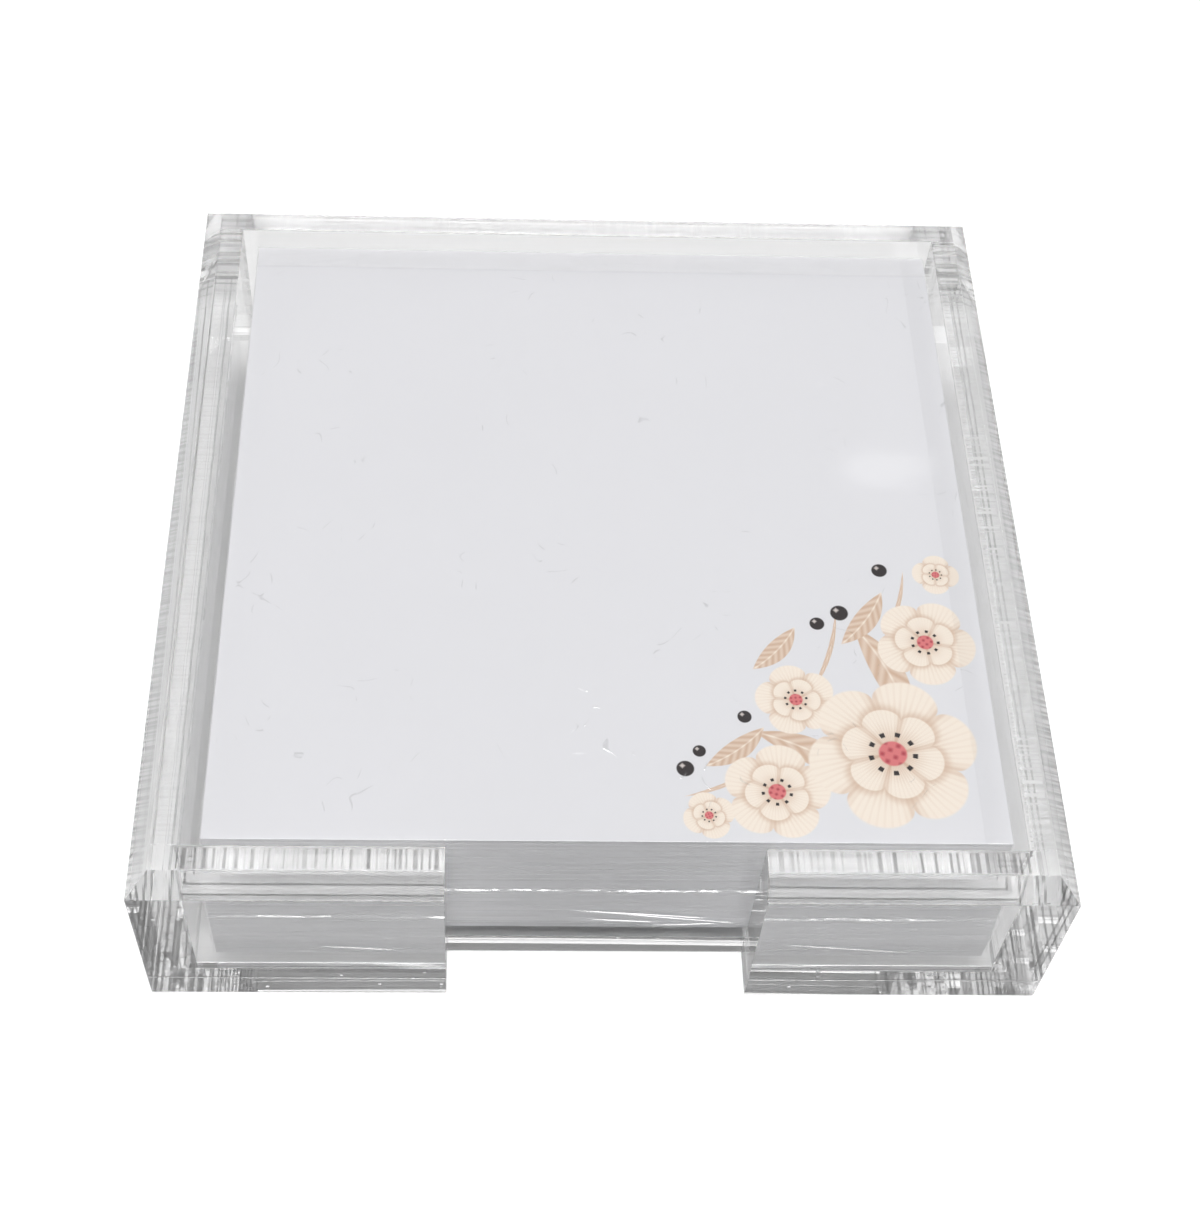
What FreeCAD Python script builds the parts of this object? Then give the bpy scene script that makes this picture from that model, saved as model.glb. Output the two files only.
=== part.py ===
import FreeCAD, Part
import Sketcher
import math
import os

# Open square memo tray of thick clear acrylic with a finger notch in its front, and the
# shrink-wrapped stack of square memo sheets that it holds.
# Millimetres, +Z up, the notch faces -Y, and the origin is the middle of the underside.

# Driving dimensions. The tray is made to fit the sheets: its cavity is the wrapped stack and the
# four gaps round it, and its outside is the cavity and the walls.
SIZES = {
    "sheet_side": 131.8,
    "sheet_thickness": 0.1,
    "sheet_count": 293,
    "film_thickness": 0.05,
    "seam_width": 0.5,
    "seam_reach": 0.4,
    "seam_height_share": 0.46,
    "gap_left": 3.0,
    "gap_right": 1.5,
    "gap_front": 2.6,
    "gap_back": 1.9,
    "wall_thickness": 8.0,
    "base_thickness": 5.9,
    "tray_height": 38.1,
    "bevel": 3.55,
    "notch_width": 51.5,
}

# Two places closer than this are the same place.
SAME_PLACE = 1e-6

# Sizes that follow from the driving ones, as expressions on the sheet of sizes.
PAD_SIDE = "(sizes.sheet_side + 2 * sizes.film_thickness)"
STACK_HEIGHT = "((sizes.sheet_count - 1) * sizes.sheet_thickness)"
PAD_HEIGHT = f"({STACK_HEIGHT} + sizes.sheet_thickness + 2 * sizes.film_thickness)"
CAVITY_WIDTH = f"({PAD_SIDE} + sizes.gap_left + sizes.gap_right)"
CAVITY_DEPTH = f"({PAD_SIDE} + sizes.gap_front + sizes.gap_back)"
TRAY_WIDTH = f"({CAVITY_WIDTH} + 2 * sizes.wall_thickness)"
TRAY_DEPTH = f"({CAVITY_DEPTH} + 2 * sizes.wall_thickness)"
FRONT_LENGTH = f"(({TRAY_WIDTH} - sizes.notch_width) / 2)"
WALL_HEIGHT = "(sizes.tray_height - sizes.base_thickness)"

# Places of faces and corners, by the same sizes.
OUTER_LEFT = f"(-{TRAY_WIDTH} / 2)"
OUTER_FRONT = f"(-{TRAY_DEPTH} / 2)"
INNER_LEFT = f"(-{CAVITY_WIDTH} / 2)"
INNER_RIGHT = f"({CAVITY_WIDTH} / 2)"
INNER_FRONT = f"(-{CAVITY_DEPTH} / 2)"
INNER_BACK = f"({CAVITY_DEPTH} / 2)"
NOTCH_RIGHT = "(sizes.notch_width / 2)"
PAD_LEFT = f"({INNER_LEFT} + sizes.gap_left)"
PAD_FRONT = f"({INNER_FRONT} + sizes.gap_front)"
PAD_FOOT = "sizes.base_thickness"
SHEET_LEFT = f"({PAD_LEFT} + sizes.film_thickness)"
SHEET_FRONT = f"({PAD_FRONT} + sizes.film_thickness)"
STACK_FOOT = f"({PAD_FOOT} + sizes.film_thickness)"
TOP_SHEET_FOOT = f"({STACK_FOOT} + {STACK_HEIGHT})"
SEAM_FOOT = f"({PAD_FOOT} + {PAD_HEIGHT} * sizes.seam_height_share - sizes.seam_width / 2)"


def add_sizes(document):
    """Puts the driving dimensions into a sheet, one cell with its own name for each."""
    sheet = document.addObject("Spreadsheet::Sheet", "sizes")
    for row, (name, value) in enumerate(SIZES.items(), 1):
        sheet.set(f"A{row}", name)
        sheet.set(f"B{row}", str(value))
        sheet.setAlias(f"B{row}", name)
    document.recompute()
    return sheet


def put(piece, left, front, foot):
    """Binds the place of a piece's lowest left front corner to the sizes."""
    piece.setExpression("Placement.Base.x", left)
    piece.setExpression("Placement.Base.y", front)
    piece.setExpression("Placement.Base.z", foot)


def add_plan(body, name, length, depth, distance=None):
    """Draws a rectangle on the body's XY plane, from a corner on the X axis: the body's origin, or
    a point at some distance from it."""
    sketch = body.newObject("Sketcher::SketchObject", name)
    ground = next(plane for plane in body.Origin.OriginFeatures if plane.Role == "XY_Plane")
    sketch.AttachmentSupport = [(ground, "")]
    sketch.MapMode = "FlatFace"
    corners = [(0, 0), (1, 0), (1, 1), (0, 1)]
    points = [FreeCAD.Vector(x, y, 0) for x, y in corners]
    for start, end in zip(points, points[1:] + points[:1]):
        sketch.addGeometry(Part.LineSegment(start, end))
    bottom, right, top, left = range(len(corners))
    for line, following in ((bottom, right), (right, top), (top, left), (left, bottom)):
        sketch.addConstraint(Sketcher.Constraint("Coincident", line, 2, following, 1))
    for line in (bottom, top):
        sketch.addConstraint(Sketcher.Constraint("Horizontal", line))
    for line in (right, left):
        sketch.addConstraint(Sketcher.Constraint("Vertical", line))
    if distance is None:
        sketch.addConstraint(Sketcher.Constraint("Coincident", bottom, 1, -1, 1))
    else:
        sketch.addConstraint(Sketcher.Constraint("PointOnObject", bottom, 1, -1))
        offset = sketch.addConstraint(Sketcher.Constraint("DistanceX", -1, 1, bottom, 1, 1))
        sketch.setExpression(f"Constraints[{offset}]", distance)
    across = sketch.addConstraint(Sketcher.Constraint("DistanceX", bottom, 1, bottom, 2, 1))
    sketch.setExpression(f"Constraints[{across}]", length)
    along = sketch.addConstraint(Sketcher.Constraint("DistanceY", right, 1, right, 2, 1))
    sketch.setExpression(f"Constraints[{along}]", depth)
    return sketch


def top_edges(shape, sides):
    """Names the top edges of a slab that lie on the given sides."""
    box = shape.BoundBox
    faces = {
        "left": ("x", box.XMin),
        "right": ("x", box.XMax),
        "front": ("y", box.YMin),
        "back": ("y", box.YMax),
    }

    def runs_along(edge, axis, place):
        ends = [getattr(vertex.Point, axis) for vertex in edge.Vertexes]
        return all(math.isclose(end, place, abs_tol=SAME_PLACE) for end in ends)

    return [
        f"Edge{number}"
        for number, edge in enumerate(shape.Edges, 1)
        if runs_along(edge, "z", box.ZMax) and any(runs_along(edge, *faces[side]) for side in sides)
    ]


def add_slab(document, name, plan, height, corner, bevelled_sides=()):
    """Makes a slab cut from sheet: a rectangle raised to a height, bevelled along some top edges."""
    body = document.addObject("PartDesign::Body", name)
    sketch = add_plan(body, name + "_plan", *plan)
    block = body.newObject("PartDesign::Pad", name + "_block")
    block.Profile = sketch
    block.setExpression("Length", height)
    document.recompute()
    if bevelled_sides:
        bevel = body.newObject("PartDesign::Chamfer", name + "_bevel")
        bevel.Base = (block, top_edges(block.Shape, bevelled_sides))
        bevel.setExpression("Size", "sizes.bevel")
    put(body, *corner)
    return body


def cut_notch(document, slab, distance, width, depth, height):
    """Cuts a rectangular notch through a slab, inwards from its front edge."""
    sketch = add_plan(slab, slab.Name + "_notch_plan", width, depth, distance)
    notch = slab.newObject("PartDesign::Pocket", slab.Name + "_notch")
    notch.Profile = sketch
    notch.Reversed = True
    notch.setExpression("Length", height)
    document.recompute()


def add_block(document, name, length, depth, height, corner):
    """Makes a plain rectangular block."""
    block = document.addObject("Part::Box", name)
    block.setExpression("Length", length)
    block.setExpression("Width", depth)
    block.setExpression("Height", height)
    put(block, *corner)
    return block


def add_tray(document):
    """Makes the six bonded slabs: four walls and a base of the same outline, which carries them. The
    front wall is two slabs with the notch between them, and the notch goes on down through the base.
    The front and back slabs run full width and the sides butt between them. The bevel goes round the
    outside of the rim and meets itself in mitres at the corners."""
    full_width = (TRAY_WIDTH, "sizes.wall_thickness")
    side = ("sizes.wall_thickness", CAVITY_DEPTH)
    front = (FRONT_LENGTH, "sizes.wall_thickness")
    foot = "sizes.base_thickness"
    base = add_slab(
        document,
        "base_plate",
        (TRAY_WIDTH, TRAY_DEPTH),
        "sizes.base_thickness",
        (OUTER_LEFT, OUTER_FRONT, "0"),
    )
    cut_notch(
        document,
        base,
        FRONT_LENGTH,
        "sizes.notch_width",
        "sizes.wall_thickness",
        "sizes.base_thickness",
    )
    return [
        base,
        add_slab(
            document,
            "back_wall",
            full_width,
            WALL_HEIGHT,
            (OUTER_LEFT, INNER_BACK, foot),
            ("left", "back", "right"),
        ),
        add_slab(
            document,
            "left_wall",
            side,
            WALL_HEIGHT,
            (OUTER_LEFT, INNER_FRONT, foot),
            ("left",),
        ),
        add_slab(
            document,
            "right_wall",
            side,
            WALL_HEIGHT,
            (INNER_RIGHT, INNER_FRONT, foot),
            ("right",),
        ),
        add_slab(
            document,
            "front_left_wall",
            front,
            WALL_HEIGHT,
            (OUTER_LEFT, OUTER_FRONT, foot),
            ("left", "front"),
        ),
        add_slab(
            document,
            "front_right_wall",
            front,
            WALL_HEIGHT,
            (NOTCH_RIGHT, OUTER_FRONT, foot),
            ("front", "right"),
        ),
    ]


def add_paper(document):
    """Makes the memo sheets: the plain ones as one block, and the printed one that lies on it."""
    return [
        add_block(
            document,
            "sheet_stack",
            "sizes.sheet_side",
            "sizes.sheet_side",
            STACK_HEIGHT,
            (SHEET_LEFT, SHEET_FRONT, STACK_FOOT),
        ),
        add_block(
            document,
            "top_sheet",
            "sizes.sheet_side",
            "sizes.sheet_side",
            "sizes.sheet_thickness",
            (SHEET_LEFT, SHEET_FRONT, TOP_SHEET_FOOT),
        ),
    ]


def add_wrap(document):
    """Makes the shrink film: a thin closed skin round all the sheets, with the weld of its seam
    standing out along the front and both sides. The back is where the film is folded."""
    outside = add_block(
        document,
        "wrap_outside",
        PAD_SIDE,
        PAD_SIDE,
        PAD_HEIGHT,
        (PAD_LEFT, PAD_FRONT, PAD_FOOT),
    )
    seam = add_block(
        document,
        "wrap_seam",
        f"{PAD_SIDE} + 2 * sizes.seam_reach",
        f"{PAD_SIDE} + sizes.seam_reach",
        "sizes.seam_width",
        (f"{PAD_LEFT} - sizes.seam_reach", f"{PAD_FRONT} - sizes.seam_reach", SEAM_FOOT),
    )
    inside = add_block(
        document,
        "wrap_inside",
        "sizes.sheet_side",
        "sizes.sheet_side",
        f"{STACK_HEIGHT} + sizes.sheet_thickness",
        (SHEET_LEFT, SHEET_FRONT, STACK_FOOT),
    )
    welded = document.addObject("Part::MultiFuse", "wrap_welded")
    welded.Shapes = [outside, seam]
    welded.Refine = True
    skin = document.addObject("Part::Cut", "shrink_wrap")
    skin.Base = welded
    skin.Tool = inside
    return [skin]


def check(document, pieces):
    """Stops the build if an object failed or a piece's shape isn't one sound solid."""
    failed = [item.Name for item in document.Objects if {"Invalid", "Error"} & set(item.State)]
    if failed:
        raise RuntimeError(f"objects that failed: {failed}")
    for piece in pieces:
        shape = piece.Shape
        if shape.isNull() or not shape.isValid() or len(shape.Solids) != 1:
            raise RuntimeError(f"unsound shape: {piece.Label}")


def main():
    """Builds every piece and writes each one's shape to its own file."""
    document = FreeCAD.newDocument("memo_tray")
    add_sizes(document)
    pieces = add_tray(document) + add_paper(document) + add_wrap(document)
    document.recompute()
    check(document, pieces)
    os.makedirs("parts", exist_ok=True)
    for piece in pieces:
        piece.Shape.exportStep(f"parts/{piece.Label}.step")
        box = piece.Shape.BoundBox
        print(
            f"{piece.Label}: {box.XLength:.2f} x {box.YLength:.2f} x {box.ZLength:.2f} mm,"
            f" {piece.Shape.Volume:.1f} mm3, from ({box.XMin:.2f}, {box.YMin:.2f}, {box.ZMin:.2f})"
        )


main()
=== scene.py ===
"""Dresses a clear acrylic memo tray: its bonded slabs, a stack of memo sheets and the film round it."""
import logging
import math
from collections.abc import Callable
from dataclasses import dataclass, field
from enum import Enum

import bpy
import numpy as np
from mathutils import Matrix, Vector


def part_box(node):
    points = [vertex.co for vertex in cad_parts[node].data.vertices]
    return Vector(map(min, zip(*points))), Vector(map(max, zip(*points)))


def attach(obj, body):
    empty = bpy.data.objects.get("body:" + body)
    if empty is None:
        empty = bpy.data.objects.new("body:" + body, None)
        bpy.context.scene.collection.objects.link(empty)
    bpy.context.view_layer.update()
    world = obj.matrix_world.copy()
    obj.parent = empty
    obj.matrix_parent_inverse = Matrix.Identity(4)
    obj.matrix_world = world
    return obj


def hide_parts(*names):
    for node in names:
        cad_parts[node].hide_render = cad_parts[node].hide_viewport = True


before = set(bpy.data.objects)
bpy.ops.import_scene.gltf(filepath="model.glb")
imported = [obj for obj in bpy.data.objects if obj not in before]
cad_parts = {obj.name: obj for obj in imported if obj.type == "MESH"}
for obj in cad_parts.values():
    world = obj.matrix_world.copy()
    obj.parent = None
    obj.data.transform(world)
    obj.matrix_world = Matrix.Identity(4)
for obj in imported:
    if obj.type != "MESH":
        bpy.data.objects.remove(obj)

LOG = logging.getLogger("memo_tray")
MM = 0.001
SEED = 7
WHITE = (1.0, 1.0, 1.0)
BLACK = (0.0, 0.0, 0.0)
TOOTH_SCALE = 2500.0
EVEN = (1.0, 1.0, 1.0)

Colour = tuple[float, float, float]
Axes = tuple[float, float, float]
Pair = tuple[float, float]


class Body(Enum):
    """The rigid bodies that pieces ride on."""

    TRAY = "tray"
    PAD = "pad"


class Slot(Enum):
    """The record's material slots."""

    ACRYLIC = "clear_acrylic"
    PAPER = "memo_paper"
    PRINT = "printed_paper"
    FILM = "shrink_film"


class Joint(Enum):
    """Which of its bonded faces shows a joint's dry spots: one of each pair of faces does."""

    FOOT = "the base's, under the walls"
    ENDS = "the front's and back's, against the side walls"
    NONE = "neither"


def operator(operation: str, swapped: bool = False) -> Callable[["Value", "Operand"], "Value"]:
    """Makes the method behind one of Python's operators.

    Args:
        operation: what the Math node does.
        swapped: whether the other operand comes first.

    Returns:
        The method, which adds the node.
    """

    def build(value: "Value", other: "Operand") -> "Value":
        """The Math node on the two operands."""
        operands = (other, value) if swapped else (value, other)
        return value.board.math(operation, *operands)

    return build


class Value:
    """One output socket of a node, on which Python's operators build Math nodes.

    A comparison is 1 where it holds and 0 elsewhere, and either joins two masks by the larger.
    """

    def __init__(self, board: "Board", socket: bpy.types.NodeSocket) -> None:
        """Keeps the socket and the board that it belongs to."""
        self.board = board
        self.socket = socket

    __add__ = operator("ADD")
    __radd__ = operator("ADD", True)
    __sub__ = operator("SUBTRACT")
    __rsub__ = operator("SUBTRACT", True)
    __mul__ = operator("MULTIPLY")
    __rmul__ = operator("MULTIPLY", True)
    __truediv__ = operator("DIVIDE")
    __pow__ = operator("POWER")
    __gt__ = operator("GREATER_THAN")
    __lt__ = operator("LESS_THAN")
    either = operator("MAXIMUM")

    def __abs__(self) -> "Value":
        """Size without sign."""
        return self.board.math("ABSOLUTE", self)

    def near(self, place: float, reach: float) -> "Value":
        """1 within reach of a place, 0 elsewhere."""
        return self.board.math("COMPARE", self, place, reach)

    def rise(self, start: float, end: float) -> "Value":
        """A smooth step from 0 at start to 1 at end, either way round."""
        return self.board.add(
            "ShaderNodeMapRange",
            {"interpolation_type": "SMOOTHSTEP"},
            {0: self, 1: start, 2: end, 3: 0.0, 4: 1.0},
        )


Operand = Value | float
Feed = Value | float | tuple[float, ...]


class Board:
    """The node tree of one material or world, and the one way that nodes are added to it."""

    def __init__(self, tree: bpy.types.NodeTree) -> None:
        """Takes an empty tree.

        Args:
            tree: the node tree, which is cleared.
        """
        tree.nodes.clear()
        self.tree = tree

    def add(
        self,
        kind: str,
        settings: dict[str, object] | None = None,
        inputs: dict[str | int, Feed] | None = None,
        output: str | int = 0,
    ) -> Value:
        """Adds a node.

        Args:
            kind: the node's type name.
            settings: its own settings, which are set first.
            inputs: what each input socket gets, a link or a constant, by name or number.
            output: the output socket to hand back.

        Returns:
            That output as a value.
        """
        node = self.tree.nodes.new(kind)
        for name, setting in (settings or {}).items():
            setattr(node, name, setting)
        for name, feed in (inputs or {}).items():
            self.feed(node.inputs[name], feed)
        outputs = node.outputs
        return Value(self, outputs[output]) if len(outputs) else Value(self, None)

    def feed(self, socket: bpy.types.NodeSocket, feed: Feed) -> None:
        """Links a value to a socket, or sets the socket's own constant."""
        if isinstance(feed, Value):
            self.tree.links.new(feed.socket, socket)
        elif isinstance(feed, tuple) and socket.type == "RGBA" and len(feed) == 3:
            socket.default_value = (*feed, 1.0)
        else:
            socket.default_value = feed

    def math(self, operation: str, *operands: Operand) -> Value:
        """A Math node on values and numbers."""
        return self.add("ShaderNodeMath", {"operation": operation}, dict(enumerate(operands)))

    def mix(self, share: Feed, low: Feed, high: Feed) -> Value:
        """A colour that goes from low to high as share goes from 0 to 1."""
        return self.add("ShaderNodeMix", {"data_type": "RGBA"}, {0: share, 6: low, 7: high}, 2)

    def blend(self, share: Feed, low: Value, high: Value) -> Value:
        """A shader that goes from low to high as share goes from 0 to 1."""
        return self.add("ShaderNodeMixShader", {}, {0: share, 1: low, 2: high})

    def place(self, coordinates: str = "Object") -> Value:
        """The coordinates of the point that is shaded."""
        return self.add("ShaderNodeTexCoord", output=coordinates)

    def axes(self, vector: Value) -> tuple[Value, Value, Value]:
        """The three parts of a vector."""
        parts = self.add("ShaderNodeSeparateXYZ", {}, {0: vector}).socket.node.outputs
        return tuple(Value(self, part) for part in parts)

    def facet(self) -> tuple[Value, Value, Value]:
        """The three parts of the surface's own normal."""
        return self.axes(self.add("ShaderNodeNewGeometry", output="Normal"))

    def facing(self) -> Value:
        """How far from square on a point is looked at, from 0 to 1."""
        return self.add("ShaderNodeLayerWeight", {}, {"Blend": 0.5}, "Facing")

    def surface(self, inputs: dict[str | int, Feed]) -> Value:
        """A Principled shader."""
        return self.add("ShaderNodeBsdfPrincipled", {}, inputs)

    def clear(self) -> Value:
        """A shader that lets everything through."""
        return self.add("ShaderNodeBsdfTransparent", {}, {"Color": WHITE})

    def noise(self, place: Value, scale: float, detail: float = 2.0, stretch: Axes = EVEN) -> Value:
        """Noise from 0 to 1, with scale in grains per metre and stretch along each axis."""
        spread = self.add("ShaderNodeMapping", {}, {0: place, "Scale": stretch})
        return self.add("ShaderNodeTexNoise", {}, {"Vector": spread, "Scale": scale, "Detail": detail})

    def bump(self, height: Value, depth: float, normal: Feed = (0.0, 0.0, 0.0)) -> Value:
        """A normal that a height bends, as if it stood out by depth in metres."""
        inputs = {"Distance": depth, "Height": height}
        if isinstance(normal, Value):
            inputs["Normal"] = normal
        return self.add("ShaderNodeBump", {}, inputs)

    def upward(self, out: float, up: float) -> Value:
        """A normal tilted up from the surface's own, for facets too small to model."""
        x, y, _ = self.facet()
        return self.add("ShaderNodeCombineXYZ", {}, {0: out * x, 1: out * y, 2: up})

    def streaks(self, along: Value, scale: float, detail: float = 2.0) -> Value:
        """Noise from 0 to 1 along one coordinate, with scale in grains per metre."""
        settings = {"noise_dimensions": "1D"}
        return self.add("ShaderNodeTexNoise", settings, {"W": along, "Scale": scale, "Detail": detail})

    def finish(self, shader: Value, kind: str = "Material") -> None:
        """Makes a shader the surface of the tree, which is a material's or a world's."""
        self.add("ShaderNodeOutput" + kind, {}, {"Surface": shader})


def new_board(name: str) -> tuple[bpy.types.Material, Board]:
    """Makes a material with an empty node tree.

    Args:
        name: the material's name.

    Returns:
        The material and its board.
    """
    material = bpy.data.materials.new(name)
    material.use_nodes = True
    return material, Board(material.node_tree)


@dataclass(frozen=True)
class Grain:
    """A pattern of noise, in grains per metre, cut by a smooth step."""

    scale: float
    detail: float
    start: float
    end: float
    stretch: Axes = EVEN

    def along(self, board: Board, coordinate: Value) -> Value:
        """The pattern as streaks along one coordinate."""
        return board.streaks(coordinate, self.scale, self.detail).rise(self.start, self.end)

    def through(self, board: Board, place: Value, more: Operand = 0.0) -> Value:
        """The pattern through space, with more of it kept where more is high."""
        return (board.noise(place, self.scale, self.detail, self.stretch) + more).rise(self.start, self.end)


@dataclass(frozen=True)
class TraySizes:
    """The tray's own sizes, in metres, read from its slabs."""

    inner_x: float
    inner_y: float
    outer_x: float
    base_top: float
    rim: float

    @classmethod
    def from_frame(cls) -> "TraySizes":
        """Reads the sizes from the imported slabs."""
        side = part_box("right_wall")[0]
        back_low, back_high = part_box("back_wall")
        return cls(side.x, back_low.y, back_high.x, back_low.z, back_high.z)


@dataclass(frozen=True)
class ClearAcrylic:
    """Cast acrylic with polished faces and sawn edges, bonded with a clear cement.

    The cement left dry spots and bubbles. A seam is a hair-thin gap, drawn as a dark line of painted
    shade, which shows at a slant and in the side walls faintly square on too. Thin white lines beside
    the seams are painted highlights, and the bars on the rims' tops are painted highlight and shade.
    Lengths are in metres, and most other values are shares of 1.
    """

    name: str
    sizes: TraySizes
    shows: Joint
    colour: Colour = (0.985, 0.985, 0.985)
    cement_and_highlight_colour: Colour = (0.9, 0.9, 0.9)
    # the shade colour is painted shade, for the seams and the rims' dark bars
    shade_colour: Colour = (0.12, 0.12, 0.12)
    ior: float = 1.495
    joint_reach: float = 0.02 * MM
    dry_width: float = 3.05 * MM
    dry_edge: float = 0.5 * MM
    sway_reach: float = 0.3 * MM
    sway_scale: float = 130.0
    bubble_scale: float = 420.0
    bubble_reach: float = 0.2
    bubble_pick: float = 0.66
    seam_places: tuple[float, ...] = (2.0 * MM, 4.2 * MM, 7.5 * MM)
    seam_half: float = 0.26 * MM
    seam_slant: float = 0.14
    seam_beside: float = 0.55
    seam_shade_paint: float = 0.6
    # painted highlights: thin white lines beside the seams
    glint_places: tuple[float, ...] = (2.75 * MM, 5.2 * MM)
    glint_highlight_paint: float = 0.85
    strip_milk: Pair = (0.3, 0.35)
    strip_marks: Grain = Grain(1200.0, 1.0, 0.35, 0.65)
    band_scale: float = 300.0
    band_seam: Pair = (0.5, 0.018)
    band_edge: Pair = (0.53, 0.55)
    band_milk_and_light: float = 0.75
    level: float = 0.9
    upright: float = 0.3
    sawn_depth: float = 3.7 * MM
    mark_scales: Pair = (520.0, 2300.0)
    mark_shares: Pair = (0.7, 0.3)
    side_marks: float = 0.3
    line_half: float = 0.14 * MM
    line_breaks: Grain = Grain(330.0, 2.0, 0.35, 0.6)
    relief_depth: float = 0.02 * MM
    arris: float = 0.18 * MM
    hatch_middle: float = 2.3 * MM
    hatch_half: float = 1.7 * MM
    hatch_fade: float = 0.3 * MM
    hatch_everywhere: float = 0.06
    hatch_front: float = 0.2
    hatch_right: float = 0.26
    hatch_least: float = 0.25
    hatch_patches: Grain = Grain(60.0, 2.0, 0.35, 0.6)
    white_bars: Grain = Grain(1200.0, 1.0, 0.5, 0.6)
    dark_bars: Grain = Grain(1200.0, 1.0, 0.48, 0.38)
    dark_everywhere: float = 0.4
    dark_front: float = 1.8
    worn: Grain = Grain(300.0, 2.0, 0.4, 0.7)
    worn_roughness: float = 0.08

    def along(self, x: Value, y: Value) -> Value:
        """How far along a wall a point is: x in the front and back walls, y in the side walls."""
        return y + (abs(y) > self.sizes.inner_y) * (x - y)

    def outward(self, x: Value, y: Value) -> Value:
        """How far out from the walls' inner faces a point is."""
        return (abs(x) - self.sizes.inner_x).either(abs(y) - self.sizes.inner_y)

    def limit(self) -> float:
        """How far from square on the critical angle is, as facing counts it."""
        return 1.0 - math.sqrt(1.0 - 1.0 / self.ior**2)

    def seam(self, off: Value) -> Value:
        """1 on a thin line where an offset is nought."""
        return abs(off).rise(self.seam_half, 0.5 * self.seam_half)

    def bubbles(self, board: Board, place: Value) -> Value:
        """Round dry spots in the cement.

        Args:
            board: the material's board.
            place: the point that is shaded.

        Returns:
            1 on the bubbles, which are in some of the cells and no two of one size.
        """
        cells = {"Vector": place, "Scale": self.bubble_scale}
        gap = board.add("ShaderNodeTexVoronoi", {}, cells, "Distance")
        pick = board.axes(board.add("ShaderNodeTexVoronoi", {}, cells, "Color"))[0]
        return (gap < self.bubble_reach * pick) * (pick > self.bubble_pick)

    def joints(self, board: Board, place: Value, facing: Value) -> tuple[Value, Value, Value, Value]:
        """Masks of the bonded faces.

        Args:
            board: the material's board.
            place: the point that is shaded.
            facing: how far from square on it is looked at, from 0 to 1.

        Returns:
            1 where two slabs meet, which is at the ends of the side walls and under all walls; 1 on the
            dry spots there, which are bubbles and the strip along the inner edge that the cement did
            not reach; 1 on thin seams, which are drawn dark as painted shade; and how milky a face is,
            from its saw marks on the dry strip, from thin white lines beside the seams, which are
            painted highlights, and from the cement in bands at the back corners, whose white and dark
            stripes are partly painted light and shade.
        """
        x, y, z = board.axes(place)
        size = self.sizes
        beside = abs(x) > size.inner_x
        above = z > size.base_top + self.joint_reach
        ends = abs(y).near(size.inner_y, self.joint_reach) * beside * above
        foot = z.near(size.base_top, self.joint_reach) * beside.either(abs(y) > size.inner_y)
        joined = ends.either(foot)
        seams = 0.0 * x
        if self.shows is Joint.NONE:
            return joined, seams, seams, seams
        bubbles = self.bubbles(board, place)
        sway = self.sway_reach * (board.noise(place, self.sway_scale, 1.0) - 0.5)
        if self.shows is Joint.ENDS:
            half = (size.outer_x - size.inner_x) / 2
            edges = abs(abs(x) - size.inner_x - half) - (half - self.dry_edge)
            # white cement bands and dark seam lines at the back corners, partly painted light and shade
            bands = board.streaks(z + sway, self.band_scale, 1.0)
            behind = ends * (y > 0.0)
            seams = (ends * self.seam(edges)).either(behind * bands.near(*self.band_seam))
            dry = ends * (edges > sway).either(bubbles)
            return joined, dry, seams, self.band_milk_and_light * behind * bands.rise(*self.band_edge)
        outward = self.outward(x, y) + sway
        strip = outward < self.dry_width
        # painted shade: dark seam lines along the foot, which show at a slant and faintly square on in the
        # side walls
        for seam_place in self.seam_places:
            seams = seams.either(self.seam(outward - seam_place))
        marks = self.strip_marks.along(board, self.along(x, y))
        milky = (self.strip_milk[0] + self.strip_milk[1] * marks) * strip
        # painted highlights: thin white lines beside the seams
        for glint_place in self.glint_places:
            milky = milky.either(self.glint_highlight_paint * self.seam(outward - glint_place))
        slanted = (facing > self.seam_slant).either(self.seam_beside * beside)
        steep = facing < self.limit()
        return joined, foot * strip.either(bubbles), foot * slanted * seams, foot * steep * milky

    def relief(self, board: Board, place: Value) -> tuple[Value, Value]:
        """The marks that bend the faces.

        Args:
            board: the material's board.
            place: the point that is shaded.

        Returns:
            The bent normal, for worn arrises, saw marks across the rims and fine lines at the joints;
            and the mask of the rims.
        """
        x, y, z = board.axes(place)
        size = self.sizes
        upward = board.facet()[2]
        along = self.along(x, y)
        sawn = (abs(upward) > self.upright) * (z > size.rim - self.sawn_depth)
        coarse = board.streaks(along, self.mark_scales[0])
        fine = board.streaks(along, self.mark_scales[1], 1.0)
        marks = self.mark_shares[0] * coarse + self.mark_shares[1] * fine
        strong = (y < -size.inner_y).either(self.side_marks * (upward > self.level))
        line = abs(z - size.base_top).rise(self.line_half, 0.0) * (abs(upward) < self.upright)
        butt = abs(abs(y) - size.inner_y).rise(self.line_half, 0.0) * (abs(x) > size.inner_x)
        height = strong * sawn * marks - (line * self.line_breaks.along(board, along)).either(butt)
        rounded = board.add("ShaderNodeBevel", {"samples": 3}, {"Radius": self.arris})
        return board.bump(height, self.relief_depth, rounded), sawn

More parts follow.
